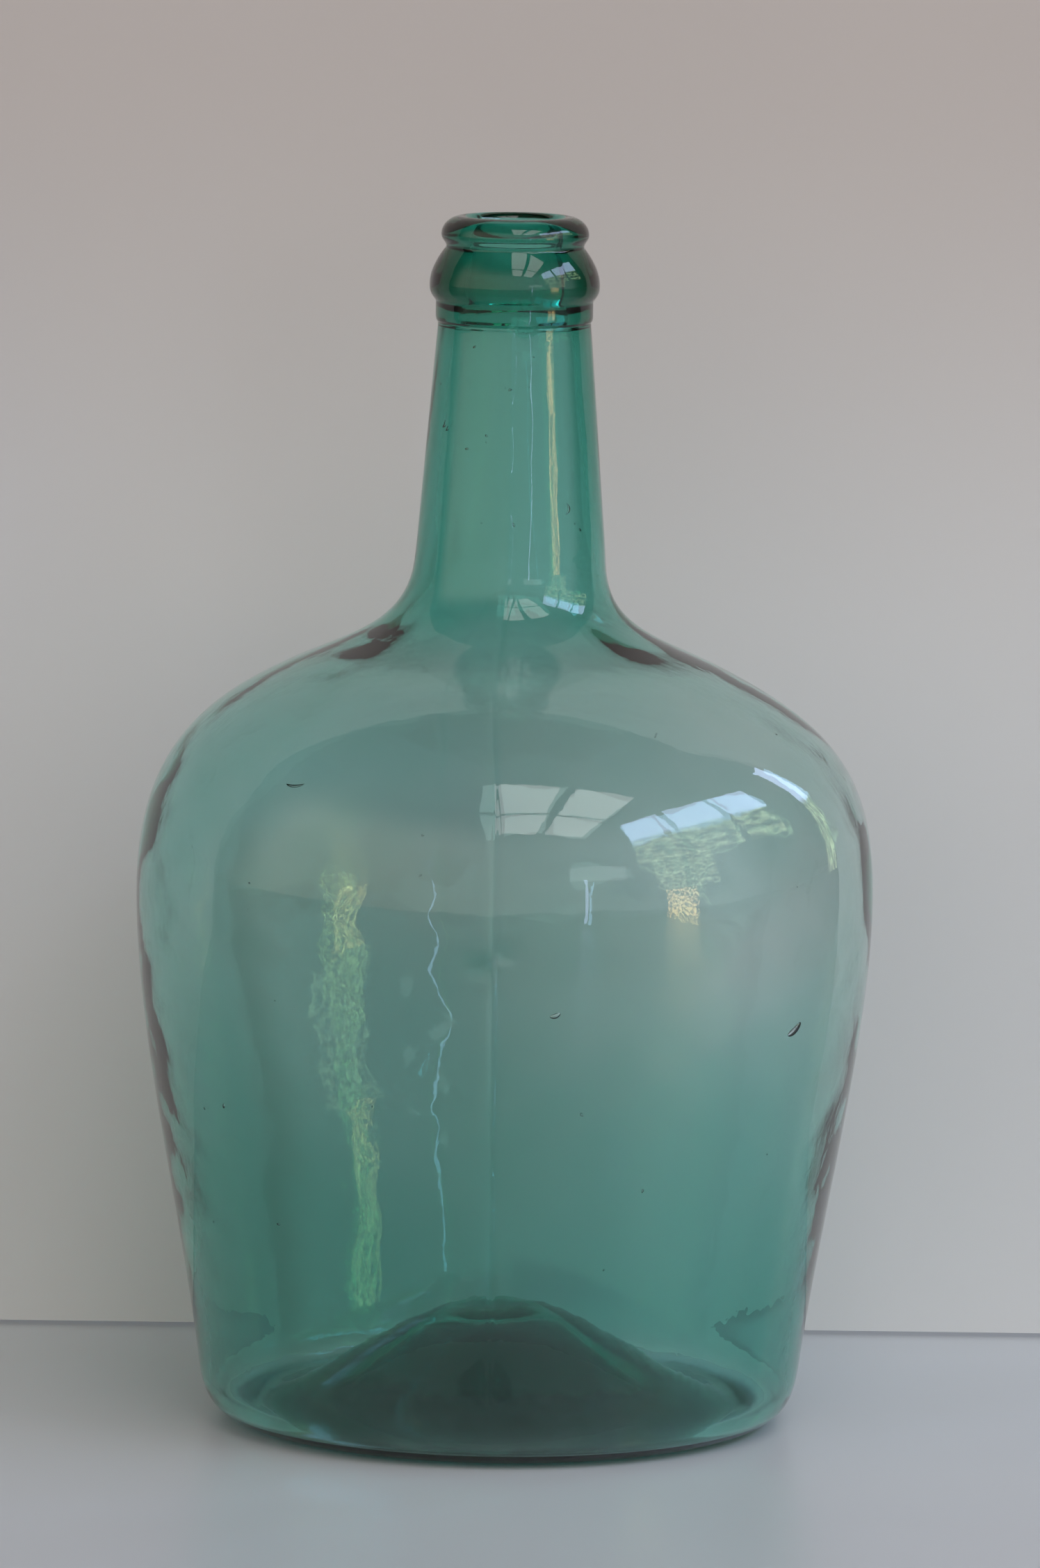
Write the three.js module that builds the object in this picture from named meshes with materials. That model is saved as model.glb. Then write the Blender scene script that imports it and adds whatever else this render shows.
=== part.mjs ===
import * as THREE from "three";

// A five-litre demijohn: one hollow glass vessel, blown in a two-part mould, with its lip and
// collar formed on the end of the neck. Millimetres, +Z up. The origin is the centre of the
// flat ring that the bottle stands on, and the bottle is a solid of revolution about Z.

// ---- Driving dimensions: radius and height of each place along the outline ----
const LAND_INNER = { radius: 60, height: 0 };
const LAND_OUTER = { radius: 67, height: 0 };
const HEEL_TOP = { radius: 82.9, height: 16.5 };
const BELLY = { radius: 100.9, height: 146.5 };
const SHOULDER = { radius: 58.9, height: 208 };
const NECK_ROOT = { radius: 26.1, height: 236.6 };
const NECK_TOP = { radius: 20.9, height: 301 };
const BAND = { radius: 21.45, low: 304, high: 306.8 };
const COLLAR = { radius: 23.2, height: 312.4 };
const GROOVE = { radius: 18.8, height: 323.4 };
const LIP = { radius: 20.1, height: 327.1 };
const MOUTH = { radius: 14.5, height: 332 };
const BORE = { radius: 12.5, high: 329, low: 306 };
const PUSH_UP = { height: 26, floorHeight: 32 };

// ---- Slopes, in degrees ----
const HEEL_LEAN = 7.3; // the side leans out this much from vertical above the heel
const SHOULDER_FALL = 25.9; // the shoulder falls this much from horizontal at its inflection
const NECK_LEAN = 4.6; // the neck widens downwards by this much from vertical

// ---- Wall thickness at each place ----
const THICKNESS = { corner: 6, heel: 4.4, belly: 2.4, shoulder: 2.2, root: 3.8, neck: 4.3 };

// ---- Fineness of the facets ----
const FACETS_ROUND = 48;
const STEPS = { heel: 5, side: 8, shoulder: 8, root: 6, neck: 2, detail: 3, floor: 6 };

const GLASS_COLOUR = 0x6f9f92;

const point = (place) => new THREE.Vector2(place.radius, place.height);

/** The point a given distance from a place, in the direction that lies some degrees above outward. */
function reach(place, distance, degrees) {
  const angle = THREE.MathUtils.degToRad(degrees);
  const radius = place.radius + distance * Math.cos(angle);
  const height = place.height + distance * Math.sin(angle);
  return new THREE.Vector2(radius, height);
}

const up = (lean) => 90 - lean;
const down = (lean) => -90 + lean;

/** The four long curves of the outer face, from the foot to the top of the neck. */
function outerCurves() {
  const heel = new THREE.CubicBezierCurve(
    point(LAND_OUTER),
    reach(LAND_OUTER, 13, 0),
    reach(HEEL_TOP, 9, 180 + up(HEEL_LEAN)),
    point(HEEL_TOP),
  );
  const side = new THREE.CubicBezierCurve(
    point(HEEL_TOP),
    reach(HEEL_TOP, 43, up(HEEL_LEAN)),
    reach(BELLY, 40, -90),
    point(BELLY),
  );
  const shoulder = new THREE.CubicBezierCurve(
    point(BELLY),
    reach(BELLY, 34, 90),
    reach(SHOULDER, 31, -SHOULDER_FALL),
    point(SHOULDER),
  );
  const root = new THREE.CubicBezierCurve(
    point(SHOULDER),
    reach(SHOULDER, 17, 180 - SHOULDER_FALL),
    reach(NECK_ROOT, 18, down(NECK_LEAN)),
    point(NECK_ROOT),
  );
  const neck = new THREE.LineCurve(point(NECK_ROOT), point(NECK_TOP));
  return { heel, side, shoulder, root, neck };
}

/** The band, collar, groove, lip and bore, from the top of the neck over the mouth and back down. */
function finishPoints() {
  const path = new THREE.Path();
  path.moveTo(NECK_TOP.radius, NECK_TOP.height);
  path.lineTo(NECK_TOP.radius, NECK_TOP.height + 1);
  path.lineTo(BAND.radius, BAND.low);
  path.lineTo(BAND.radius, BAND.high);
  path.bezierCurveTo(
    BAND.radius + 0.3, BAND.high + 2,
    COLLAR.radius, COLLAR.height - 2.4,
    COLLAR.radius, COLLAR.height,
  );
  path.bezierCurveTo(
    COLLAR.radius, COLLAR.height + 4.2,
    GROOVE.radius + 1.6, GROOVE.height - 2.2,
    GROOVE.radius, GROOVE.height,
  );
  path.bezierCurveTo(
    GROOVE.radius, GROOVE.height + 1.4,
    LIP.radius, LIP.height - 1.6,
    LIP.radius, LIP.height,
  );
  path.bezierCurveTo(
    LIP.radius, LIP.height + 2.6,
    MOUTH.radius + 3, MOUTH.height,
    MOUTH.radius, MOUTH.height,
  );
  path.bezierCurveTo(
    MOUTH.radius - 1.2, MOUTH.height,
    BORE.radius, BORE.high + 1.6,
    BORE.radius, BORE.high,
  );
  path.lineTo(BORE.radius, BORE.low);
  return path.getPoints(STEPS.detail);
}

/** Points down the inner face: each is set in from the outer curve, walked backwards. */
function innerFace(curve, steps, thicknessLow, thicknessHigh) {
  const points = [];
  for (let i = 0; i <= steps; i += 1) {
    const t = 1 - i / steps;
    const along = curve.getTangent(t);
    const thickness = THREE.MathUtils.lerp(thicknessLow, thicknessHigh, t);
    const inward = new THREE.Vector2(-along.y, along.x).multiplyScalar(thickness);
    points.push(curve.getPoint(t).add(inward));
  }
  return points;
}

/** The whole cross-section, from the axis under the base, up outside, down inside, to the axis. */
function outline() {
  const { heel, side, shoulder, root, neck } = outerCurves();
  const underside = new THREE.CubicBezierCurve(
    new THREE.Vector2(0, PUSH_UP.height),
    new THREE.Vector2(24, PUSH_UP.height),
    new THREE.Vector2(46, 9),
    point(LAND_INNER),
  );
  // the floor leaves the heel's inner face two steps short of the foot
  const heelInside = innerFace(heel, STEPS.heel, THICKNESS.corner, THICKNESS.heel).slice(0, -2);
  const floor = new THREE.CubicBezierCurve(
    heelInside.at(-1),
    heelInside.at(-1).clone().add(new THREE.Vector2(-7, -3)),
    new THREE.Vector2(30, PUSH_UP.floorHeight),
    new THREE.Vector2(0, PUSH_UP.floorHeight),
  );
  const points = [
    ...underside.getPoints(STEPS.floor),
    ...heel.getPoints(STEPS.heel),
    ...side.getPoints(STEPS.side),
    ...shoulder.getPoints(STEPS.shoulder),
    ...root.getPoints(STEPS.root),
    ...finishPoints(),
    ...innerFace(neck, STEPS.neck, THICKNESS.root, THICKNESS.neck),
    ...innerFace(root, STEPS.root, THICKNESS.shoulder, THICKNESS.root),
    ...innerFace(shoulder, STEPS.shoulder, THICKNESS.belly, THICKNESS.shoulder),
    ...innerFace(side, STEPS.side, THICKNESS.heel, THICKNESS.belly),
    ...heelInside,
    ...floor.getPoints(STEPS.floor),
  ];
  const isNew = (p, i) => i === 0 || p.distanceTo(points[i - 1]) > 0.01;
  return points.filter(isNew);
}

/** The vessel: the cross-section turned about Z. */
function glassBottle() {
  const geometry = new THREE.LatheGeometry(outline(), FACETS_ROUND);
  geometry.rotateX(Math.PI / 2); // a lathe turns about Y, and the bottle stands along Z
  const material = new THREE.MeshStandardMaterial({
    color: GLASS_COLOUR,
    roughness: 0.05,
    metalness: 0,
    transparent: true,
    opacity: 0.5,
  });
  const mesh = new THREE.Mesh(geometry, material);
  mesh.name = "glass_bottle";
  return mesh;
}

const demijohn = new THREE.Group();
demijohn.add(glassBottle());

export default demijohn;
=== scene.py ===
"""A five-litre demijohn of aqua-green glass, standing on a pale shelf in soft window light.

The vessel is one piece of glass. Its outline is turned about the Z axis from a few curves, then given what a
mould and a blowpipe leave behind: a slightly uneven wall, mould seams, ring lines under the collar, a rough
pushed-up base, and seeds (small bubbles) caught inside the wall. Sizes are in millimetres until a mesh is
made, and in metres in every mesh.
"""

import logging
import math
from dataclasses import dataclass, field
from enum import Enum

import bpy
import numpy as np
from mathutils import Matrix, Vector


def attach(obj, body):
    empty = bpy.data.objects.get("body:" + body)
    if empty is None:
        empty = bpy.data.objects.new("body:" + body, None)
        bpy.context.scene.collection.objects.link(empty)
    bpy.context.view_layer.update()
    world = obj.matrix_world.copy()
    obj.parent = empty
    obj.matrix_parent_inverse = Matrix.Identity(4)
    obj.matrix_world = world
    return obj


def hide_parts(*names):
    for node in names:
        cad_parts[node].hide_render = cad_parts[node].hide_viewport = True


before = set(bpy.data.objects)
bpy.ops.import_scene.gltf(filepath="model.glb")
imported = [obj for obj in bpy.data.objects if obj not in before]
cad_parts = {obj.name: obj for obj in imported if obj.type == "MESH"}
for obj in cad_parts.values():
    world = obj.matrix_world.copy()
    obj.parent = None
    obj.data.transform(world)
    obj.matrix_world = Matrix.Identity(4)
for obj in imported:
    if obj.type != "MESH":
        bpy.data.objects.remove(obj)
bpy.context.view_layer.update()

LOG = logging.getLogger("demijohn")
MM = 0.001
GLASS_NODE = "glass_bottle"

Point = tuple[float, float]
Colour = tuple[float, float, float]
Socket = bpy.types.NodeSocket


class Face(Enum):
    """Which face of the glass a ring of points lies on."""

    UNDER = "under"
    OUTER = "outer"
    FINISH = "finish"
    INNER = "inner"
    FLOOR = "floor"


def smoothstep(low: float, high: float, x: np.ndarray | float) -> np.ndarray | float:
    """A smooth step from 0 at low to 1 at high."""
    t = np.clip((x - low) / (high - low), 0.0, 1.0)
    return t * t * (3.0 - 2.0 * t)


def bump_curve(x: np.ndarray | float, centre: float, width: float) -> np.ndarray | float:
    """A bell that is 1 at its centre and about a third of that one width away."""
    return np.exp(-(((x - centre) / width) ** 2))


def reach(place: Point, distance: float, degrees: float) -> Point:
    """The point a distance from a place, in a direction in degrees: 0 is outward and 90 is up."""
    angle = math.radians(degrees)
    return (place[0] + distance * math.cos(angle), place[1] + distance * math.sin(angle))


def cubic(a: Point, b: Point, c: Point, d: Point, steps: int) -> np.ndarray:
    """Points along a cubic curve.

    Args:
        a: Start.
        b: First handle.
        c: Second handle.
        d: End.
        steps: Number of steps, so that steps + 1 points come back.

    Returns:
        An array of (radius, height) rows.
    """
    t = np.linspace(0.0, 1.0, steps + 1)[:, None]
    corners = [np.array(p, float) for p in (a, b, c, d)]
    weights = ((1 - t) ** 3, 3 * (1 - t) ** 2 * t, 3 * (1 - t) * t**2, t**3)
    return sum(w * p for w, p in zip(weights, corners))


def straight(a: Point, b: Point, steps: int) -> np.ndarray:
    """Points along a straight line in equal steps, as (radius, height) rows."""
    t = np.linspace(0.0, 1.0, steps + 1)[:, None]
    return (1 - t) * np.array(a, float) + t * np.array(b, float)


@dataclass(frozen=True)
class Spots:
    """Places on a face of the glass: angles in radians, radii and heights in millimetres."""

    angle: np.ndarray
    radius: np.ndarray
    height: np.ndarray

    def flat(self) -> np.ndarray:
        """A displacement of nothing at every place."""
        return np.zeros(np.broadcast(self.angle, self.height).shape)

    def away(self, degrees: float) -> np.ndarray:
        """How far each place is round the vessel from an angle, in millimetres."""
        return ((self.angle - math.radians(degrees) + math.pi) % (2 * math.pi) - math.pi) * self.radius


def capped_skin(around: int, rows: int) -> list[tuple[int, ...]]:
    """Faces of a closed skin: a first point, rows of points round an axis, and a last point.

    Args:
        around: Points in each row.
        rows: Number of rows between the two end points.

    Returns:
        The faces as index tuples.
    """
    faces: list[tuple[int, ...]] = []
    end = 1 + (rows - 1) * around
    last = 1 + rows * around
    for j in range(around):
        k = (j + 1) % around
        faces.append((0, 1 + k, 1 + j))
        for i in range(rows - 1):
            a, b = 1 + i * around, 1 + (i + 1) * around
            faces.append((a + j, a + k, b + k, b + j))
        faces.append((end + j, end + k, last))
    return faces


@dataclass(frozen=True)
class WallThickness:
    """How thick the glass is at each level, in millimetres."""

    corner: float = 3.4
    heel: float = 3.5
    belly: float = 1.15
    shoulder: float = 1.35
    root: float = 3.8
    neck: float = 4.3

    def levels(self) -> tuple[float, ...]:
        """The thicknesses in order, from the foot up."""
        return (self.corner, self.heel, self.belly, self.shoulder, self.root, self.neck)


@dataclass(frozen=True)
class Outline:
    """The vessel's cross-section: radius and height of each place, in millimetres."""

    land_inner: Point = (55.0, 0.0)
    land_outer: Point = (67.0, 0.0)
    heel_top: Point = (82.9, 16.5)
    belly: Point = (100.9, 146.5)
    shoulder: Point = (58.9, 208.0)
    neck_root: Point = (26.1, 236.6)
    neck_top: Point = (20.9, 301.0)
    band_radius: float = 21.45
    band_low: float = 303.4
    band_high: float = 307.7
    collar: Point = (23.2, 312.4)
    groove: Point = (18.8, 322.6)
    lip: Point = (20.15, 326.0)
    mouth: Point = (14.6, 330.9)
    bore_radius: float = 12.3
    bore_high: float = 328.2
    bore_low: float = 322.0
    throat_low: float = 292.0
    push_up: float = 26.0
    push_up_floor: float = 30.0
    heel_lean: float = 7.3
    shoulder_fall: float = 25.9
    neck_lean: float = 4.6
    foot_inside: float = 16.5
    trough_radius: float = 72.5
    trough_height: float = 3.3
    floor_shoulder: float = 7.0
    under_shoulder: float = 10.0
    wall: WallThickness = field(default_factory=WallThickness)

    def outer(self) -> dict[str, np.ndarray]:
        """The four curves of the outer face below the finish, and the straight neck, each by name."""
        up_heel = 90 - self.heel_lean
        down_neck = -90 + self.neck_lean
        foot, heel, belly = self.land_outer, self.heel_top, self.belly
        turn, root = self.shoulder, self.neck_root
        return {
            "heel": cubic(foot, reach(foot, 13, 0), reach(heel, 9, 180 + up_heel), heel, 14),
            "side": cubic(heel, reach(heel, 43, up_heel), reach(belly, 40, -90), belly, 48),
            "shoulder": cubic(
                belly, reach(belly, 34, 90), reach(turn, 31, -self.shoulder_fall), turn, 38
            ),
            "root": cubic(
                turn, reach(turn, 17, 180 - self.shoulder_fall), reach(root, 18, down_neck), root, 22
            ),
            "neck": straight(root, self.neck_top, 26),
        }

    def finish(self) -> np.ndarray:
        """The band, collar, groove and lip, from the top of the neck up to the mouth."""
        radius, low, high = self.band_radius, self.band_low, self.band_high
        collar, groove, lip, mouth = self.collar, self.groove, self.lip, self.mouth
        parts = [
            straight(self.neck_top, (self.neck_top[0], low - 1.6), 5),
            cubic((self.neck_top[0], low - 1.6), (self.neck_top[0], low - 0.8),
                  (radius, low - 1.0), (radius, low), 7),
            straight((radius, low), (radius, high - 0.2), 5),
            cubic((radius, high - 0.2), (radius, high + 0.3),
                  (radius + 0.3, high + 0.6), (radius + 0.6, high + 1.0), 5),
            cubic((radius + 0.6, high + 1.0), (radius + 1.4, high + 2.1),
                  (collar[0], collar[1] - 2.0), collar, 12),
            cubic(collar, (collar[0], collar[1] + 4.2), (groove[0] + 1.6, groove[1] - 2.2), groove, 18),
            cubic(groove, (groove[0], groove[1] + 1.4), (lip[0], lip[1] - 1.6), lip, 12),
            cubic(lip, (lip[0], lip[1] + 2.6), (mouth[0] + 3, mouth[1]), mouth, 14),
        ]
        return np.vstack(parts)

    def bore(self) -> np.ndarray:
        """The mouth's inner edge and the straight bore under it."""
        radius, mouth = self.bore_radius, self.mouth
        edge = cubic(mouth, (mouth[0] - 1.2, mouth[1]), (radius, self.bore_high + 1.6),
                     (radius, self.bore_high), 8)
        return np.vstack([edge, straight((radius, self.bore_high), (radius, self.bore_low), 8)])

    def inner_line(self, steps: int) -> np.ndarray:
        """The inner face, set in from the whole outer face by the wall's thickness.

        Args:
            steps: Number of steps to walk it in.

        Returns:
            An array of (radius, height) rows, from the top of the neck down to the foot.
        """
        curves = list(self.outer().values())
        line = np.vstack([curves[0], *(curve[1:] for curve in curves[1:])])
        run = np.concatenate([[0.0], np.cumsum(np.linalg.norm(np.diff(line, axis=0), axis=1))])
        joins = run[np.cumsum([0] + [len(curve) - 1 for curve in curves])]
        even = np.linspace(0.0, run[-1], steps + 1)
        line = np.column_stack([np.interp(even, run, line[:, k]) for k in (0, 1)])
        along = np.gradient(line, axis=0)
        along /= np.linalg.norm(along, axis=1)[:, None]
        inward = np.column_stack([-along[:, 1], along[:, 0]])
        levels = self.wall.levels()
        place = np.interp(even, joins, np.arange(len(levels)))
        whole = np.floor(place)
        eased = whole + smoothstep(0.0, 1.0, place - whole)
        thickness = np.interp(eased, np.arange(len(levels)), levels)[:, None]
        return (line + inward * thickness)[::-1]

    def mound(self, rim: Point, top: float, shoulder: float, steps: int) -> np.ndarray:
        """One face of the push-up: flat in the middle, then falling in a soft S to its rim.

        Args:
            rim: Radius and height of its rim.
            top: Height of its middle.
            shoulder: Radius of the flat middle.
            steps: Number of steps.

        Returns:
            An array of (radius, height) rows, from the axis outward.
        """
        radius = np.linspace(0.0, rim[0], steps + 1)
        height = top + (rim[1] - top) * smoothstep(shoulder, rim[0], radius)
        return np.column_stack([radius, height - 0.0015 * radius * (1 - radius / rim[0])])

    def rings(self) -> list[tuple[float, float, Face]]:
        """Every ring of the closed cross-section, from the axis under the base round to the axis above it."""
        outer = self.outer()
        inside = self.inner_line(156)
        inside = inside[(inside[:, 1] > self.foot_inside) & (inside[:, 1] < self.throat_low)]
        under = self.mound(self.land_inner, self.push_up, self.under_shoulder, 28)
        end = tuple(inside[-1])
        rim = (self.trough_radius, self.trough_height)
        corner = (end[0] - 1.3, self.trough_height + 3.2)
        turn = (corner[0] - 3.2, self.trough_height + 0.1)
        base = np.vstack([
            straight(end, corner, 6),
            cubic(corner, (corner[0] - 0.2, corner[1] - 2.0), (turn[0] + 1.6, turn[1]), turn, 5),
            straight(turn, rim, 4),
            self.mound(rim, self.push_up_floor, self.floor_shoulder, 30)[::-1],
        ])
        top = tuple(inside[0])
        throat = cubic((self.bore_radius, self.bore_low), (self.bore_radius, self.bore_low - 11.0),
                       (top[0] - 0.9, top[1] + 12.0), top, 18)
        stretches = [
            (under, Face.UNDER),
            (straight(self.land_inner, self.land_outer, 4), Face.UNDER),
            *((curve, Face.OUTER) for curve in outer.values()),
            (self.finish(), Face.FINISH),
            (self.bore(), Face.INNER),
            (throat, Face.INNER),
            (inside, Face.INNER),
            (base, Face.FLOOR),
        ]
        rings: list[tuple[float, float, Face]] = []
        for points, face in stretches:
            for radius, height in points:
                if rings and math.dist(rings[-1][:2], (radius, height)) < 0.02:
                    continue
                rings.append((float(radius), float(height), face))
        return rings


@dataclass(frozen=True)
class Ripple:
    """Waves in a glass face: a sum of seeded sine waves, periodic round the vessel.

    Fields:
        height: Typical height of the waves, in millimetres.
        around: Fewest and most waves round the vessel.
        pitch: Shortest and longest wave up the wall, in millimetres.
        count: How many waves are summed.
        seed: Seed of the random draws.
    """

    height: float
    around: tuple[int, int]
    pitch: tuple[float, float]
    count: int
    seed: int

    def relief(self, spots: Spots) -> np.ndarray:
        """The ripple's height.

        Args:
            spots: Where to find it.

        Returns:
            Displacements, in millimetres.
        """
        draw = np.random.default_rng(self.seed)
        total = spots.flat()
        for _ in range(self.count):
            turns = draw.integers(self.around[0], self.around[1] + 1)
            pitch = draw.uniform(*self.pitch)
            slant = draw.choice((-1.0, 1.0))
            phase = draw.uniform(0, 2 * math.pi)
            total = total + np.sin(turns * spots.angle + slant * 2 * math.pi * spots.height / pitch + phase)
        return total * self.height / math.sqrt(self.count)


@dataclass(frozen=True)
class MouldMarks:
    """What the mould leaves on the outside: vertical seams and the ring lines under the collar."""

    body_seams_deg: tuple[float, float] = (-91.6, 100.8)
    finish_seams_deg: tuple[float, float] = (-53.0, 127.0)
    seam_height: float = 0.42
    finish_seam_height: float = 0.07
    seam_width: float = 0.9
    ring_depth: float = 0.1
    ring_width: float = 0.22
    ring_heights: Point = (302.0, 303.0)
    notch_deg: float = -81.0
    notch_width: float = 2.2
    notch_height: float = 0.35

    def seam(self, spots: Spots) -> np.ndarray:
        """Height of the vertical seams: one pair on the body and neck, another pair on the finish.

        Args:
            spots: Where to find it.

        Returns:
            Displacements outward, in millimetres.
        """
        total = spots.flat()
        on_finish = smoothstep(*self.ring_heights, spots.height)
        body = self.seam_height * (1 - on_finish)
        finish = self.finish_seam_height * on_finish
        for seams, share in ((self.body_seams_deg, body), (self.finish_seams_deg, finish)):
            for seam_deg in seams:
                total = total + share * bump_curve(spots.away(seam_deg), 0.0, self.seam_width)
        uneven = 0.75 + 0.25 * np.sin(spots.height / 5.3) * np.sin(spots.height / 13.1 + 1.0)
        return total * uneven

    def rings(self, spots: Spots) -> np.ndarray:
        """Depth of the fine ring lines, and the small bump where the two halves of the ring mould meet.

        Args:
            spots: Where to find it.

        Returns:
            Displacements outward, in millimetres.
        """
        total = spots.flat()
        for ring in self.ring_heights:
            total = total - self.ring_depth * bump_curve(spots.height, ring, self.ring_width)
        bump = bump_curve(spots.away(self.notch_deg), 0.0, self.notch_width)
        bump = bump * bump_curve(spots.height, self.ring_heights[1] - 0.6, 0.9)
        return total + self.notch_height * bump


@dataclass(frozen=True)
class Seed:
    """One bubble in the wall: a flattened, bent capsule.

    Fields:
        angle_deg: Angle round the vessel; -90 is the front.
        height: Height above the shelf, in millimetres.
        length: Length, in millimetres.
        width: Width, in millimetres.
        tilt_deg: Turn of its length from level.
        bend: How far its ends curl up, as a share of its length.
    """

    angle_deg: float
    height: float
    length: float
    width: float
    tilt_deg: float = 0.0
    bend: float = 0.0


@dataclass(frozen=True)
class Lump:
    """A place where the inner face swells or sinks.

    Fields:
        angle_deg: Angle round the vessel; -90 is the front.
        height: Height above the shelf, in millimetres.
        swell: How far the face moves outward, in millimetres; a negative swell thickens the glass.
        across: Its half width round the vessel, in millimetres.
        along: Its half height, in millimetres.
    """

    angle_deg: float
    height: float
    swell: float
    across: float
    along: float

    def relief(self, spots: Spots) -> np.ndarray:
        """The lump's displacements outward, in millimetres."""
        bell = self.swell * bump_curve(spots.away(self.angle_deg), 0.0, self.across)
        return bell * bump_curve(spots.height, self.height, self.along)


@dataclass
class GlassVessel:
    """The demijohn itself: one closed mesh of glass with its seeds inside.

    Each pair of heights ending in calm, start or levels is where an effect begins and is full.
    """

    outline: Outline = field(default_factory=Outline)
    marks: MouldMarks = field(default_factory=MouldMarks)
    outer_ripple: Ripple = Ripple(0.05, (2, 9), (60.0, 200.0), 10, 11)
    outer_tremor: Ripple = Ripple(0.014, (12, 34), (14.0, 60.0), 20, 12)
    inner_ripple: Ripple = Ripple(0.22, (2, 9), (50.0, 160.0), 12, 21)
    inner_tremor: Ripple = Ripple(0.05, (9, 24), (24.0, 90.0), 20, 22)
    inner_shiver: Ripple = Ripple(0.045, (18, 32), (10.0, 24.0), 16, 23)
    base_ripple: Ripple = Ripple(0.2, (2, 6), (40.0, 90.0), 8, 31)
    foot_calm: Point = (2.0, 14.0)
    lip_calm: Point = (300.0, 304.0)
    seam_start: Point = (4.0, 20.0)
    inside_calm: Point = (25.0, 80.0)
    throat_calm: Point = (300.0, 318.0)
    neck_calm: Point = (228.0, 255.0)
    shiver_radii: Point = (40.0, 70.0)
    thin_side_levels: Point = (20.0, 60.0)
    slump_level: float = 205.0
    slump_reach: float = 17.0
    neck_shift_levels: Point = (222.0, 244.0)
    columns: int = 164
    seam_spread_mm: tuple[float, ...] = (0.4, 0.9, 1.8)
    thin_side: float = 0.2
    shoulder_shift: float = -1.7
    push_up_shift: float = -2.0
    neck_shift: float = 0.5
    large_seeds: tuple[Seed, ...] = (
        Seed(-146.5, 275.0, 2.2, 0.9, 65, 0.25),
        Seed(-143.0, 274.0, 1.6, 0.8, 60, 0.2),
        Seed(-49.0, 253.0, 3.2, 0.8, 80, 0.3),
        Seed(-128.0, 183.7, 6.0, 0.8, 6, 0.12),
        Seed(-37.5, 117.5, 6.2, 2.2, 28, 0.08),
        Seed(-141.5, 94.8, 1.5, 0.9, 70, 0.0),
        Seed(-82.0, 126.6, 3.0, 1.4, 20, 0.1),
    )
    lumps: tuple[Lump, ...] = (
        Lump(-34.0, 217.8, -1.3, 5.0, 2.3),
        Lump(-29.0, 214.2, -1.4, 7.0, 2.2),
        Lump(-40.0, 221.0, -0.8, 5.0, 1.8),
        Lump(-166.0, 218.0, -1.1, 9.0, 2.4),
        Lump(-156.0, 213.0, -1.0, 7.0, 2.0),
        Lump(-149.0, 208.0, -0.8, 9.0, 1.8),
        Lump(-93.6, 140.1, -1.2, 3.6, 2.8),
        Lump(-91.3, 141.2, 0.6, 1.8, 1.6),
        Lump(-90.2, 143.6, -0.8, 2.4, 1.7),
        Lump(8.0, 66.0, -1.2, 14.0, 9.0),
        Lump(-6.0, 152.0, -1.0, 10.0, 12.0),
        Lump(-174.0, 165.0, -1.0, 9.0, 8.0),
        Lump(172.0, 60.0, -1.2, 14.0, 9.0),
    )
    small_seeds: int = 46
    seed_draws: int = 77

    def column_angles(self) -> np.ndarray:
        """Angles of the mesh's columns: evenly spread, with extra ones close to each seam."""
        angles = list(np.linspace(-math.pi, math.pi, self.columns, endpoint=False))
        for seams, radius in ((self.marks.body_seams_deg, 95.0), (self.marks.finish_seams_deg, 22.0)):
            for seam_deg in seams:
                middle = math.radians(seam_deg)
                spread = [s * side / radius for s in self.seam_spread_mm for side in (-1, 1)]
                angles += [middle, *(middle + s for s in spread)]
        wrapped = sorted((a + math.pi) % (2 * math.pi) - math.pi for a in angles)
        kept = [wrapped[0]]
        for angle in wrapped[1:]:
            if angle - kept[-1] > 1e-3:
                kept.append(angle)
        return np.array(kept)

    def sway(self, height: np.ndarray) -> np.ndarray:
        """How far off centre each height lies: the shoulder has slumped to the left, the neck leans right."""
        slump = self.shoulder_shift * bump_curve(height, self.slump_level, self.slump_reach)
        return slump + self.neck_shift * smoothstep(*self.neck_shift_levels, height)

    def surface(self, radius: np.ndarray, height: np.ndarray, angle: np.ndarray, face: Face) -> np.ndarray:
        """Points of the finished surface.

        Args:
            radius: Radius of each ring, in millimetres, as a column.
            height: Height of each ring, in millimetres, as a column.
            angle: Angle of each column, in radians, as a row.
            face: The face that the rings lie on.

        Returns:
            An array of points, in millimetres, one for each ring and column.
        """
        level = np.broadcast_to(height, (len(height), angle.shape[1]))
        spots = Spots(angle, radius, level)
        off = np.zeros(level.shape)
        lift = np.zeros(level.shape)
        if face in (Face.OUTER, Face.FINISH):
            calm = smoothstep(*self.foot_calm, level) * (1 - 0.6 * smoothstep(*self.lip_calm, level))
            waves = self.outer_ripple.relief(spots) + self.outer_tremor.relief(spots)
            off = off + calm * waves + self.marks.rings(spots)
            off = off + smoothstep(*self.seam_start, level) * self.marks.seam(spots)
        if face is Face.INNER:
            calm = smoothstep(*self.inside_calm, level) * (1 - smoothstep(*self.throat_calm, level))
            calm = calm * (1 - 0.75 * smoothstep(*self.neck_calm, level))
            waves = self.inner_ripple.relief(spots) + self.inner_tremor.relief(spots)
            waves = waves + self.inner_shiver.relief(spots) * smoothstep(*self.shiver_radii, radius)
            thin = self.thin_side * np.cos(angle) * smoothstep(*self.thin_side_levels, level)
            wall = 3.0 * (1 - smoothstep(230.0, 300.0, level))
            off = off + calm * (waves + thin * wall)
            off = off + sum(lump.relief(spots) for lump in self.lumps)
        if face in (Face.UNDER, Face.FLOOR):
            inside = smoothstep(0.0, 40.0, radius) * (1 - smoothstep(44.0, 58.0, radius))
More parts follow.
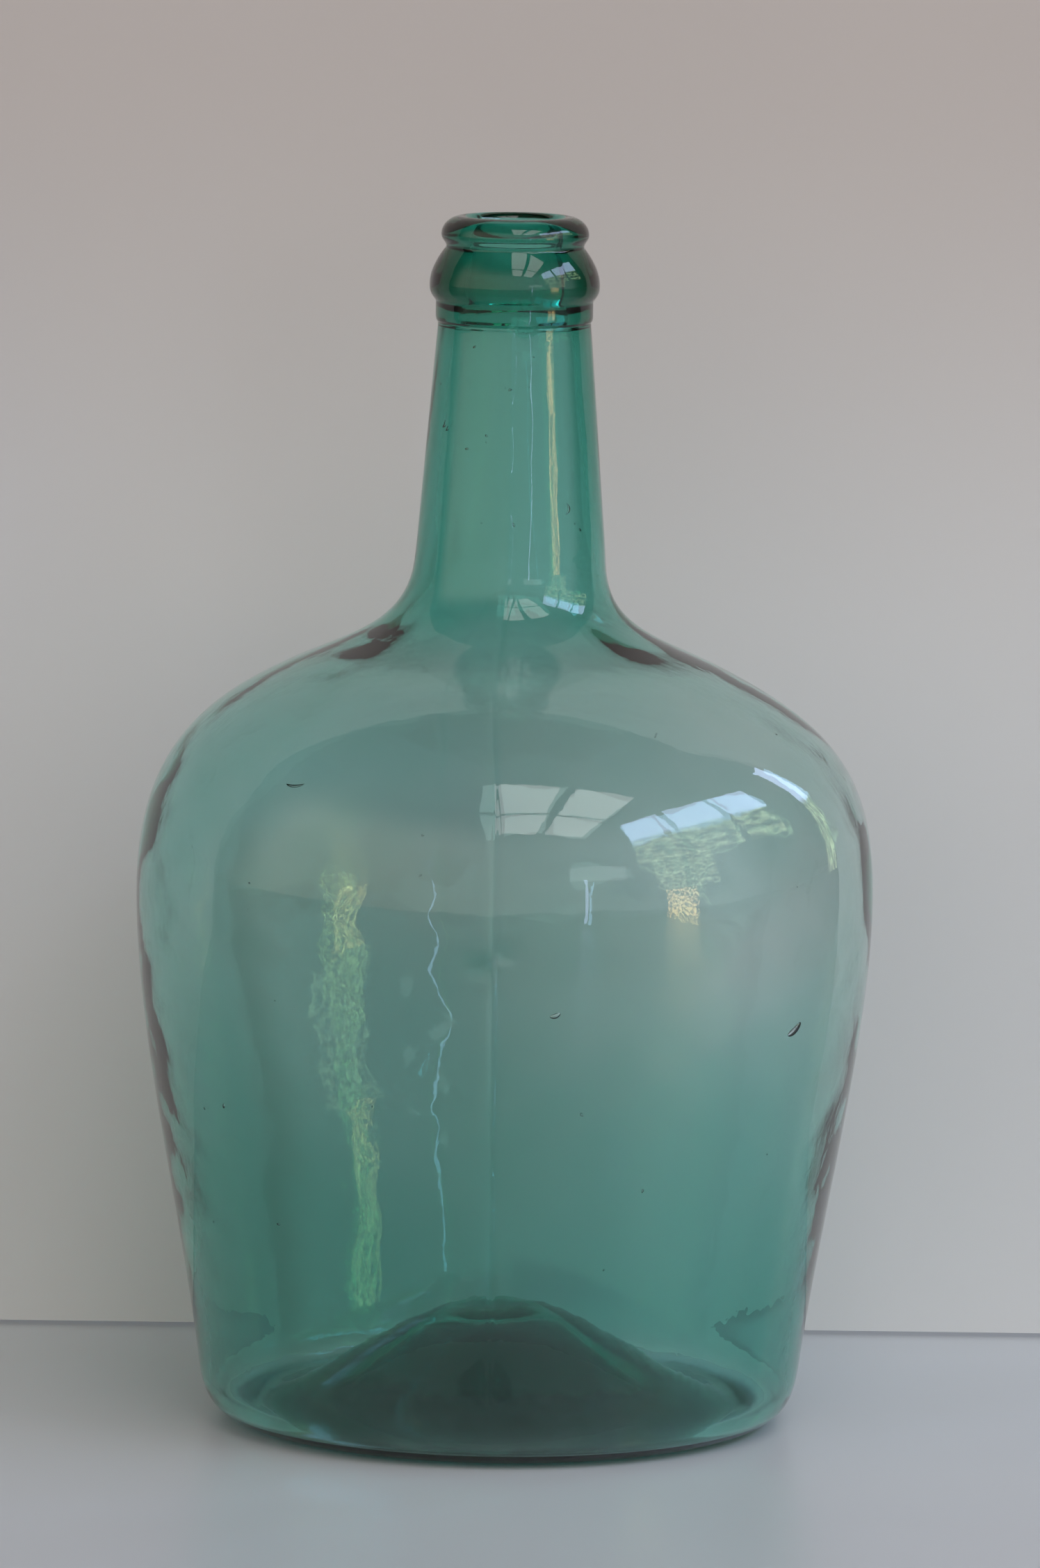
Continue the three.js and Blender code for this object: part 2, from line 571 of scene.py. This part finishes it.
            lift = lift + inside * self.base_ripple.relief(Spots(angle, radius, radius + 0.0 * level))
        reach_out = radius + off
        x = reach_out * np.cos(angle) + self.sway(level)
        if face in (Face.UNDER, Face.FLOOR):
            x = x + self.push_up_shift * (1 - smoothstep(10.0, 55.0, radius))
        y = reach_out * np.sin(angle)
        return np.stack([x, y, level + lift], axis=-1)

    def shell(self) -> tuple[list[np.ndarray], list[tuple[int, ...]]]:
        """Vertices and faces of the glass without its seeds.

        Returns:
            The vertices in millimetres, and the faces as index tuples, facing out of the glass.
        """
        angle = self.column_angles()[None, :]
        rings = self.outline.rings()
        vertices: list[np.ndarray] = [np.array([self.push_up_shift, 0.0, rings[0][1]])]
        for radius, height, face in rings[1:-1]:
            row = self.surface(np.array([[radius]]), np.array([[height]]), angle, face)
            vertices += list(row[0])
        vertices.append(np.array([self.push_up_shift, 0.0, rings[-1][1]]))
        return vertices, capped_skin(angle.shape[1], len(rings) - 2)

    def wall_at(self, height: float) -> tuple[float, float, float]:
        """Outer radius, thickness and slope of the wall at a height.

        Args:
            height: Height above the shelf, in millimetres.

        Returns:
            The outer radius, the wall's thickness across it, and the outward lean in radians.
        """
        curves = self.outline.outer()
        levels = self.outline.wall.levels()
        for curve, low, high in zip(curves.values(), levels[:-1], levels[1:]):
            if curve[0, 1] <= height <= curve[-1, 1]:
                share = (height - curve[0, 1]) / (curve[-1, 1] - curve[0, 1])
                radius = float(np.interp(height, curve[:, 1], curve[:, 0]))
                above = float(np.interp(height + 0.5, curve[:, 1], curve[:, 0]))
                return radius, low + (high - low) * share, math.atan2(above - radius, 0.5)
        return self.outline.neck_top[0], levels[-1], 0.0

    def seed_list(self) -> list[Seed]:
        """The large seeds, and small ones scattered over the neck and body."""
        draw = np.random.default_rng(self.seed_draws)
        seeds = list(self.large_seeds)
        for i in range(self.small_seeds):
            on_neck = i % 3 == 0
            height = draw.uniform(240.0, 298.0) if on_neck else draw.uniform(24.0, 200.0)
            size = draw.uniform(0.3, 0.65)
            turn = draw.uniform(-180.0, 180.0)
            seeds.append(Seed(turn, height, size * draw.uniform(1.0, 2.2), size, draw.uniform(0, 180)))
        return seeds

    def seed_mesh(self, seed: Seed) -> tuple[list[np.ndarray], list[tuple[int, ...]]]:
        """One bubble: a closed skin that faces into the bubble, away from the glass.

        Args:
            seed: The bubble to make.

        Returns:
            Its vertices in millimetres and its faces.
        """
        around, along = 12, 10
        radius, thickness, lean = self.wall_at(seed.height)
        angle = math.radians(seed.angle_deg)
        outward = Vector((math.cos(angle), math.sin(angle), 0.0))
        level = Vector((-math.sin(angle), math.cos(angle), 0.0))
        up = Vector((0.0, 0.0, 1.0)) * math.cos(lean) + outward * math.sin(lean)
        normal = level.cross(up).normalized()
        tilt = math.radians(seed.tilt_deg)
        run = level * math.cos(tilt) + up * math.sin(tilt)
        side = normal.cross(run)
        deep = min(0.5 * seed.width, 0.27 * thickness)
        middle = outward * radius + Vector((float(self.sway(np.array(seed.height))), 0.0, seed.height))
        middle -= normal * (0.5 * thickness)
        vertices: list[np.ndarray] = []
        for i in range(along + 1):
            polar = math.pi * i / along
            x = -math.cos(polar) * 0.5 * seed.length
            girth = math.sin(polar)
            curl = seed.bend * seed.length * (2 * x / seed.length) ** 2
            for j in range(around if 0 < i < along else 1):
                turn = 2 * math.pi * j / around
                y = math.cos(turn) * girth * 0.5 * seed.width + curl
                z = math.sin(turn) * girth * deep
                vertices.append(np.array(middle + run * x + side * y + normal * z))
        return vertices, [tuple(reversed(f)) for f in capped_skin(around, along - 1)]

    def build(self) -> bpy.types.Object:
        """Makes the glass and its seeds as one object.

        Returns:
            The object, with its mesh in metres.
        """
        vertices, faces = self.shell()
        for seed in self.seed_list():
            points, skin = self.seed_mesh(seed)
            first = len(vertices)
            vertices += points
            faces += [tuple(first + v for v in f) for f in skin]
        mesh = bpy.data.meshes.new("demijohn_glass")
        mesh.from_pydata([tuple(float(c) * MM for c in v) for v in vertices], [], faces)
        mesh.validate()
        mesh.shade_smooth()
        glass = bpy.data.objects.new("demijohn_glass", mesh)
        bpy.context.scene.collection.objects.link(glass)
        return glass

    def dress(self, glass: bpy.types.Object, finish: "AquaGlass") -> None:
        """Gives the glass its material and ties it to the frame.

        Args:
            glass: The object that build() made.
            finish: The glass finish.
        """
        glass.data.materials.append(finish.material())
        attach(glass, "root")
        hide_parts(GLASS_NODE)


@dataclass(frozen=True)
class Wiring:
    """A node tree, with short ways to add the nodes that recur in it."""

    tree: bpy.types.NodeTree

    def add(self, kind: str, **settings: object) -> bpy.types.Node:
        """Adds a node and sets its properties."""
        node = self.tree.nodes.new(kind)
        for name, value in settings.items():
            setattr(node, name, value)
        return node

    def feed(self, source: Socket | float | tuple[float, ...], socket: Socket) -> None:
        """Links a socket to another, or sets it to a plain value."""
        if isinstance(source, Socket):
            self.tree.links.new(source, socket)
        else:
            socket.default_value = source

    def remap(self, value: Socket, start: tuple, end: tuple = (0.0, 1.0), smooth: bool = True) -> Socket:
        """Maps a value from one range to another, clamped.

        Args:
            value: The value to map.
            start: Where it comes from; each end is a number or a socket.
            end: Where it goes to; each end is a number or a socket.
            smooth: Whether it eases in and out.

        Returns:
            The mapped value.
        """
        node = self.add("ShaderNodeMapRange", interpolation_type="SMOOTHSTEP" if smooth else "LINEAR")
        self.feed(value, node.inputs["Value"])
        for name, edge in zip(("From Min", "From Max", "To Min", "To Max"), (*start, *end)):
            self.feed(edge, node.inputs[name])
        return node.outputs["Result"]

    def math(self, operation: str, first: Socket, second: Socket | float) -> Socket:
        """The result of one sum on two values."""
        node = self.add("ShaderNodeMath", operation=operation)
        self.feed(first, node.inputs[0])
        self.feed(second, node.inputs[1])
        return node.outputs["Value"]

    def scale(self, vector: Socket | Colour, factor: Socket) -> Socket:
        """A colour or vector made stronger or weaker."""
        node = self.add("ShaderNodeVectorMath", operation="SCALE")
        self.feed(vector, node.inputs["Vector"])
        self.feed(factor, node.inputs["Scale"])
        return node.outputs["Vector"]

    def length(self, vector: Socket) -> Socket:
        """The length of a vector."""
        node = self.add("ShaderNodeVectorMath", operation="LENGTH")
        self.feed(vector, node.inputs[0])
        return node.outputs["Value"]

    def split(self, vector: Socket) -> bpy.types.NodeOutputs:
        """The X, Y and Z of a vector."""
        node = self.add("ShaderNodeSeparateXYZ")
        self.feed(vector, node.inputs["Vector"])
        return node.outputs

    def noise(self, vector: Socket, scale: Socket | float, detail: Socket | float) -> Socket:
        """Soft noise."""
        node = self.add("ShaderNodeTexNoise")
        for name, source in (("Vector", vector), ("Scale", scale), ("Detail", detail)):
            self.feed(source, node.inputs[name])
        return node.outputs["Fac"]

    def mix(self, factor: Socket, first: Socket | tuple, second: Socket | tuple, kind: str = "RGBA") -> Socket:
        """A blend of two colours (RGBA) or two vectors (VECTOR), first at 0 and second at 1."""
        node = self.add("ShaderNodeMix", data_type=kind)
        place, out = (6, 2) if kind == "RGBA" else (4, 1)
        self.feed(factor, node.inputs["Factor"])
        self.feed(first, node.inputs[place])
        self.feed(second, node.inputs[place + 1])
        return node.outputs[out]

    def place(self, group: bpy.types.NodeTree, vector: Socket, **values: float) -> Socket:
        """Places a node group that gives a value.

        Args:
            group: The group to place.
            vector: Where it is sampled.
            **values: Input values by socket name, with underscores for spaces.

        Returns:
            The value's socket.
        """
        node = self.add("ShaderNodeGroup", node_tree=group)
        self.feed(vector, node.inputs["Vector"])
        for name, value in values.items():
            node.inputs[name.replace("_", " ")].default_value = value
        return node.outputs["Value"]


def value_group(name: str, inputs: tuple[str, ...]) -> tuple[bpy.types.NodeTree, Wiring, bpy.types.NodeOutputs, Socket]:
    """An empty node group that takes a vector and some values, and gives one value.

    Args:
        name: The group's name.
        inputs: The names of the values it takes.

    Returns:
        The group, its wiring, its inputs as seen from inside, and the socket that takes its result.
    """
    group = bpy.data.node_groups.new(name, "ShaderNodeTree")
    group.interface.new_socket(name="Vector", in_out="INPUT", socket_type="NodeSocketVector")
    for socket in inputs:
        group.interface.new_socket(name=socket, in_out="INPUT", socket_type="NodeSocketFloat")
    group.interface.new_socket(name="Value", in_out="OUTPUT", socket_type="NodeSocketFloat")
    wiring = Wiring(group)
    given = wiring.add("NodeGroupInput").outputs
    return group, wiring, given, wiring.add("NodeGroupOutput").inputs["Value"]


def mottle_group() -> bpy.types.NodeTree:
    """A node group of soft patches between a low and a high value, made once for every finish."""
    name = "Mottle"
    if name in bpy.data.node_groups:
        return bpy.data.node_groups[name]
    group, wiring, given, result = value_group(name, ("Scale", "Detail", "Low", "High"))
    noise = wiring.noise(given["Vector"], given["Scale"], given["Detail"])
    wiring.feed(wiring.remap(noise, (0.35, 0.65), (given["Low"], given["High"]), smooth=False), result)
    return group


def ring_stain_and_shade_group() -> bpy.types.NodeTree:
    """A node group that marks a ragged ring about the Z axis, on the front only, made once; it holds the push-up's dark
    film, partly residue and partly painted shade.
    """
    name = "Ring Stain"
    if name in bpy.data.node_groups:
        return bpy.data.node_groups[name]
    edges = ("Inner Start", "Inner Full", "Outer Full", "Outer End")
    group, wiring, given, result = value_group(name, (*edges, "Top", "Strength"))
    parts = wiring.split(given["Vector"])
    flat = wiring.add("ShaderNodeCombineXYZ")
    for axis in ("X", "Y"):
        wiring.feed(parts[axis], flat.inputs[axis])
    ragged = wiring.noise(given["Vector"], 90.0, 4.0)
    shift = wiring.remap(ragged, (0.0, 1.0), (-0.006, 0.006), smooth=False)
    radius = wiring.math("ADD", wiring.length(flat.outputs["Vector"]), shift)
    value = wiring.remap(radius, (given["Inner Start"], given["Inner Full"]))
    # partly residue, partly painted shade: the ring is kept to the front half and the low part of the push-up
    for mask in (
        wiring.remap(radius, (given["Outer End"], given["Outer Full"])),
        wiring.remap(parts["Y"], (0.04, 0.01)),
        wiring.remap(parts["Z"], (given["Top"], 0.018)),
        given["Strength"],
    ):
        value = wiring.math("MULTIPLY", value, mask)
    wiring.feed(value, result)
    return group


def plain_material(name: str) -> tuple[bpy.types.Material, Wiring, bpy.types.Node, Socket]:
    """A new material with nodes.

    Args:
        name: The material's name.

    Returns:
        The material, its wiring, its Principled shader, and the object's own coordinates.
    """
    material = bpy.data.materials.new(name)
    material.use_nodes = True
    wiring = Wiring(material.node_tree)
    skin = material.node_tree.nodes["Principled BSDF"]
    return material, wiring, skin, wiring.add("ShaderNodeTexCoord").outputs["Object"]


@dataclass(frozen=True)
class AquaGlass:
    """Clear aqua-green bottle glass.

    Fields:
        absorption: Light lost per metre in red, green and blue.
        ior: Refractive index.
        clean: Roughness where the glass is clean.
        worn: Roughness where it is handled or dusty.
        hammer: Strength of the fine ripple left by the mould.
        hammer_depth: Depth of that ripple, in metres.
        residue_and_shade: How much light the dark film round the foot of the push-up stops; the film is partly residue
            and partly painted shade, on the front only.
        residue_and_shade_colour: What the glass keeps of the light where that film is full.
        residue_and_shade_ring: Radii, in metres, at which the film begins, is full, starts to end and has ended.
    """

    absorption: Colour = (250.0, 77.0, 99.0)
    ior: float = 1.52
    clean: float = 0.0
    worn: float = 0.014
    hammer: float = 0.05
    hammer_depth: float = 0.0002
    residue_and_shade: float = 0.8
    residue_and_shade_colour: Colour = (0.016, 0.022, 0.020)
    residue_and_shade_ring: tuple[float, float, float, float] = (0.041, 0.047, 0.060, 0.066)

    def material(self) -> bpy.types.Material:
        """Builds the glass: refracting skin, absorbing body, fine ripple and faint wear."""
        material, wiring, skin, where = plain_material("aqua_glass")
        skin.inputs["IOR"].default_value = self.ior
        skin.inputs["Transmission Weight"].default_value = 1.0
        wear = wiring.place(mottle_group(), where, Scale=38.0, Detail=5.0, Low=self.clean, High=self.worn)
        wiring.feed(wear, skin.inputs["Roughness"])
        ripple = wiring.place(mottle_group(), where, Scale=160.0, Detail=2.0, Low=0.0, High=1.0)
        bump = wiring.add("ShaderNodeBump")
        bump.inputs["Strength"].default_value = self.hammer
        bump.inputs["Distance"].default_value = self.hammer_depth
        wiring.feed(ripple, bump.inputs["Height"])
        wiring.feed(bump.outputs["Normal"], skin.inputs["Normal"])
        # the base colour carries a dark film on the push-up, partly residue and partly painted shade
        wiring.feed(self.residue_and_shade_tint(wiring, where), skin.inputs["Base Color"])
        density = max(self.absorption)
        tint = wiring.add("ShaderNodeVolumeAbsorption")
        tint.inputs["Color"].default_value = (*(1 - a / density for a in self.absorption), 1.0)
        tint.inputs["Density"].default_value = density
        wiring.feed(tint.outputs["Volume"], wiring.tree.nodes["Material Output"].inputs["Volume"])
        return material

    def residue_and_shade_tint(self, wiring: Wiring, where: Socket) -> Socket:
        """Colours the glass dark on the front slope of the push-up: partly residue, partly painted shade.

        Args:
            wiring: The material's wiring.
            where: The object's own coordinates.

        Returns:
            The colour's socket: white on clean glass, dark where the residue and painted shade lie.
        """
        # painted shade, partly residue: a dark film on the push-up's front slope, front side only
        starts, full, ends, gone = self.residue_and_shade_ring
        stain_and_shade = wiring.place(ring_stain_and_shade_group(), where, Inner_Start=starts, Inner_Full=full,
                             Outer_Full=ends, Outer_End=gone, Top=0.024, Strength=self.residue_and_shade)
        return wiring.mix(stain_and_shade, (1.0, 1.0, 1.0, 1.0), (*self.residue_and_shade_colour, 1.0))


@dataclass(frozen=True)
class MattePaint:
    """A flat painted surface, very slightly mottled, for the shelf and the wall behind, with painted shade where it is
    asked for.

    Fields:
        name: The material's name.
        colour: Its colour, or its colour low down where shaded_top_colour is given.
        roughness: Its roughness.
        mottle: How far its tone varies, as a share.
        one_sided: Whether it is clear when seen from behind.
        pale_to: Distances, in metres, at which its painted shade far out begins and is at its darkest.
        painted_far_shade: Its tone beyond that, as a share: painted shade, darker far from the bottle.
        painted_shadow_radius: Radius, in metres, of the painted shadow under the bottle.
        painted_foot_shadow: The tone of that painted shadow, as a share.
        shaded_top_colour: Its colour high up: painted shade, darker and warmer towards the top.
        rise: Heights, in metres, between which it goes from the low colour to the shaded one.
    """

    name: str
    colour: Colour
    roughness: float
    mottle: float = 0.03
    one_sided: bool = False
    pale_to: tuple[float, float] = (0.0, 0.0)
    painted_far_shade: float = 1.0
    painted_shadow_radius: float = 0.06
    painted_foot_shadow: float = 1.0
    shaded_top_colour: Colour | None = None
    rise: tuple[float, float] = (0.16, 0.38)

    def material(self) -> bpy.types.Material:
        """Builds the paint."""
        material, wiring, skin, where = plain_material(self.name)
        skin.inputs["Roughness"].default_value = self.roughness
        tone = wiring.place(
            mottle_group(), where, Scale=3.0, Detail=4.0, Low=1 - self.mottle, High=1 + self.mottle
        )
        # painted shade: darker far out, and a painted shadow under the bottle
        if self.painted_far_shade < 1.0:
            tone = self.add_painted_shade(wiring, where, tone)
        colour: Socket | Colour = self.colour
        # painted shade: the paint goes darker and warmer high up
        if self.shaded_top_colour:
            level = wiring.remap(wiring.split(where)["Z"], self.rise)
            colour = wiring.mix(level, self.colour, self.shaded_top_colour, "VECTOR")
        wiring.feed(wiring.scale(colour, tone), skin.inputs["Base Color"])
        if self.one_sided:
            choose = wiring.add("ShaderNodeMixShader")
            wiring.feed(wiring.add("ShaderNodeNewGeometry").outputs["Backfacing"], choose.inputs["Fac"])
            wiring.feed(skin.outputs["BSDF"], choose.inputs[1])
            wiring.feed(wiring.add("ShaderNodeBsdfTransparent").outputs["BSDF"], choose.inputs[2])
            wiring.feed(choose.outputs["Shader"], wiring.tree.nodes["Material Output"].inputs["Surface"])
        return material

    def add_painted_shade(self, wiring: Wiring, where: Socket, tone: Socket) -> Socket:
        """Paints shade into a tone: darker far from the middle of the sheet, and a painted shadow under the bottle.

        Args:
            wiring: The material's wiring.
            where: The object's own coordinates.
            tone: The tone to darken.

        Returns:
            The tone with its painted shade.
        """
        away = wiring.length(where)
        # painted shade: darker far from the middle of the sheet
        near = wiring.remap(away, self.pale_to, (1.0, self.painted_far_shade))
        # painted shadow: a dark disc painted on the shelf under the bottle
        edge = (self.painted_shadow_radius * 0.93, self.painted_shadow_radius)
        foot = wiring.remap(away, edge, (self.painted_foot_shadow, 1.0), smooth=False)
        return wiring.math("MULTIPLY", wiring.math("MULTIPLY", tone, near), foot)


@dataclass
class ShelfCorner:
    """The pale shelf that the bottle stands on, and the wall close behind it."""

    wall_behind: float = 0.124
    wall_left: float = -0.9
    wall_right: float = 0.3
    wall_top: float = 0.6
    floor_reach: float = 20.0
    joint: float = 0.0009
    gap_under: float = 0.0002
    # The shelf paint carries painted shade far out and a painted shadow under the bottle.
    shelf: MattePaint = MattePaint(
        "shelf_paint", (0.60, 0.625, 0.65), 0.3, pale_to=(0.45, 0.8), painted_far_shade=0.5, painted_foot_shadow=0.22
    )
    # The wall paint carries painted shade: darker and warmer high up.
    wall: MattePaint = MattePaint(
        "wall_paint", (0.68, 0.68, 0.68), 0.9, 0.02, one_sided=True, shaded_top_colour=(0.55, 0.50, 0.475)
    )

    def sheet(self, name: str, corners: list[tuple[float, float, float]], paint: MattePaint) -> None:
        """One flat stage sheet.

        Args:
            name: The sheet's name.
            corners: Its corners, in order, in metres.
            paint: Its paint.
        """
        mesh = bpy.data.meshes.new(name)
        mesh.from_pydata(corners, [], [tuple(range(len(corners)))])
        sheet = bpy.data.objects.new(name, mesh)
        bpy.context.scene.collection.objects.link(sheet)
        sheet.data.materials.append(paint.material())

    def build(self) -> None:
        """Makes the shelf and the wall."""
        far, down = self.floor_reach, -self.gap_under
        self.sheet("shelf", [(-far, -far, down), (far, -far, down), (far, far, down), (-far, far, down)], self.shelf)
        left, right, deep = self.wall_left, self.wall_right, self.wall_behind
        low, high = self.joint, self.wall_top
        corners = [(left, deep, low), (right, deep, low), (right, deep, high), (left, deep, high)]
        self.sheet("wall", corners, self.wall)


LEAF_SCALE = 13.0
LEAF_EDGE = (0.42, 0.66)
LEAF_TONE = (0.12, 3.2)


@dataclass(frozen=True)
class Pane:
    """One window, as the bottle sees it: where it lies and what shows in it.

    Fields:
        name: The window's name.
        centre: Its centre, in metres.
        aim: The point that it faces.
        size: Its width and height, in metres.
        sky: Radiance of the sky seen in it.
        leaves: Radiance of the foliage seen in it.
        tree_line: How high up the window the foliage reaches, from 0 to 1.
        bars: How many panes it has across and up.
        bar_width: Half the width of the bars across and up, as shares of the window.
    """

    name: str
    centre: tuple[float, float, float]
    aim: tuple[float, float, float]
    size: tuple[float, float]
    sky: Colour
    leaves: Colour = (0.0, 0.0, 0.0)
    tree_line: float = 0.0
    bars: tuple[int, int] = (1, 1)
    bar_width: tuple[float, float] = (0.018, 0.018)

    def lamp(self) -> None:
        """Makes the window as an area light with its bars, sky and foliage."""
        light = bpy.data.lights.new(self.name, "AREA")
        light.shape = "RECTANGLE"
        light.size, light.size_y = self.size
        light.energy = math.pi * self.size[0] * self.size[1]
        light.use_nodes = True
        self.paint(light.node_tree)
        lamp = bpy.data.objects.new(self.name, light)
        bpy.context.scene.collection.objects.link(lamp)
        away = Vector(self.centre) - Vector(self.aim)
        lamp.matrix_world = Matrix.Translation(self.centre) @ away.to_track_quat("Z", "Y").to_matrix().to_4x4()
        lamp.visible_camera = False

    def paint(self, tree: bpy.types.NodeTree) -> None:
        """Lays out the view in the window.

        Args:
            tree: The light's node tree.
        """
        wiring = Wiring(tree)
        where = wiring.add("ShaderNodeNewGeometry").outputs["Parametric"]
        parts = wiring.split(where)
        clumps = wiring.remap(
            wiring.noise(where, LEAF_SCALE, 3.0), LEAF_EDGE, LEAF_TONE, smooth=False
        )
        foliage = wiring.scale(self.leaves, clumps)
        treetop = (self.tree_line - 0.03, self.tree_line + 0.03)
        over = wiring.remap(parts["Y"], treetop, smooth=False)
        view = wiring.mix(over, foliage, self.sky, "VECTOR")
        masks = []
        for axis, count, width in zip(("X", "Y"), self.bars, self.bar_width):
            to_bar = wiring.math("PINGPONG", parts[axis], 0.5 / count)
            masks.append(wiring.math("GREATER_THAN", to_bar, width))
        open_glass = wiring.math("MULTIPLY", *masks)
        wiring.feed(wiring.scale(view, open_glass), tree.nodes["Emission"].inputs["Color"])


def around(azimuth: float, distance: float, height: float) -> tuple[float, float, float]:
    """A place round the bottle, in metres; azimuth is in degrees from the front, positive to the right."""
    turn = math.radians(azimuth)
    return (distance * math.sin(turn), -distance * math.cos(turn), height)


@dataclass
class Room:
    """The light in the room: a roof window, garden windows, narrow windows, and soft fill.

    Each turn is the pair of direction cosines between which the fill changes.
    """

    fill_left: Colour = (0.98, 0.84, 0.70)
    fill_right: Colour = (0.90, 0.98, 1.06)
    ceiling_shade: float = 0.12
    fill_back: Colour = (0.09, 0.085, 0.08)
    sky: Colour = (3.4, 4.1, 6.2)
    dull_sky: Colour = (1.0, 1.1, 1.1)
    leaves: Colour = (0.75, 0.85, 0.5)
    bright_leaves: Colour = (2.9, 1.9, 0.8)
    frosted: Colour = (2.75, 2.5, 2.5)
    eye_line: float = 0.165
    side_turn: Point = (-0.6, 0.6)
    front_turn: Point = (0.15, -0.25)
    ceiling_turn: Point = (0.45, 0.8)

    def panes(self) -> list[Pane]:
        """The windows, each where it mirrors in the glass."""

        def upright(name: str, azimuth: float, distance: float, rise: float, *view: object, **more: object) -> Pane:
            """A window round the bottle, level with its own aim; rise is its height above the eye line."""
            height = self.eye_line + rise
            return Pane(name, around(azimuth, distance, height), (0.0, 0.0, height), *view, **more)

        return [
            Pane("roof_window", (0.85, -2.5, 3.15), (0.85, -2.5, 0.0), (2.46, 3.06), self.frosted,
                 bars=(2, 2), bar_width=(0.045, 0.018)),
            upright("garden_sky", 74.0, 3.1, 1.96, (3.8, 1.9), self.sky, self.leaves, 0.5, (3, 1)),
            upright("garden_trees", 59.0, 3.2, 0.72, (1.3, 0.8), self.sky, self.leaves, 1.1, (2, 1), (0.03, 0.0)),
            upright("garden_gap", 56.0, 3.2, 0.0, (0.6, 0.64), self.sky, self.bright_leaves, 1.1,
                    bar_width=(0.0, 0.0)),
            upright("far_window", 29.0, 2.2, 0.54, (0.75, 0.26), self.dull_sky),
            upright("strip_window", 24.5, 2.2, 0.15, (0.035, 0.6), self.sky),
            upright("rear_window", 121.0, 1.2, 0.45, (0.12, 1.0), self.sky, self.leaves, 0.5),
        ]

    def fill(self) -> None:
        """Soft fill: warm from the left, cool from the right, dim from behind and overhead."""
        world = bpy.data.worlds.new("room")
        bpy.context.scene.world = world
        world.use_nodes = True
        wiring = Wiring(world.node_tree)
        parts = wiring.split(wiring.add("ShaderNodeTexCoord").outputs["Generated"])
        side = wiring.remap(parts["X"], self.side_turn, smooth=False)
        room = wiring.mix(side, (*self.fill_left, 1.0), (*self.fill_right, 1.0))
        front = wiring.remap(parts["Y"], self.front_turn)
        background = world.node_tree.nodes["Background"]
        wiring.feed(wiring.mix(front, (*self.fill_back, 1.0), room), background.inputs["Color"])
        ceiling = wiring.remap(parts["Z"], self.ceiling_turn, (1.0, self.ceiling_shade))
        wiring.feed(ceiling, background.inputs["Strength"])

    def build(self) -> None:
        """Hangs the windows and sets the fill."""
        for pane in self.panes():
            pane.lamp()
        self.fill()


@dataclass(frozen=True)
class PortraitCamera:
    """A long lens at a little above shoulder height of the bottle, looking slightly down."""

    distance: float = 2.7125
    height: float = 0.539
    look_down_deg: float = 7.637
    look_right_deg: float = 0.08
    roll_deg: float = 0.77
    sensor: float = 36.0
    lens_in_sensors: float = 6.377

    def build(self) -> None:
        """Makes the camera and gives it to the scene."""
        data = bpy.data.cameras.new("portrait")
        data.sensor_width = self.sensor
        data.lens = self.sensor * self.lens_in_sensors
        data.clip_end = 60.0
        camera = bpy.data.objects.new("portrait", data)
        bpy.context.scene.collection.objects.link(camera)
        turn = Matrix.Rotation(math.radians(-self.look_right_deg), 4, "Z")
        tip = Matrix.Rotation(math.radians(90.0 - self.look_down_deg), 4, "X")
        roll = Matrix.Rotation(math.radians(self.roll_deg), 4, "Z")
        camera.matrix_world = Matrix.Translation((0.0, -self.distance, self.height)) @ turn @ tip @ roll
        bpy.context.scene.camera = camera


def light_paths() -> None:
    """Lets light cross every face of the glass, and cleans the picture."""
    cycles = bpy.context.scene.cycles
    cycles.max_bounces = 20
    cycles.transmission_bounces = 20
    cycles.glossy_bounces = 12
    cycles.diffuse_bounces = 5
    cycles.transparent_max_bounces = 12
    cycles.use_denoising = True
    bpy.context.scene.view_settings.view_transform = "Standard"


def main() -> None:
    """Builds the camera, the bottle, the shelf and the light, in that order."""
    logging.basicConfig(level=logging.INFO, format="%(message)s")
    PortraitCamera().build()
    vessel = GlassVessel()
    glass = vessel.build()
    vessel.dress(glass, AquaGlass())
    LOG.info("%s: %d faces, %d seeds", glass.name, len(glass.data.polygons), len(vessel.seed_list()))
    ShelfCorner().build()
    Room().build()
    light_paths()


if __name__ == "__main__":
    main()
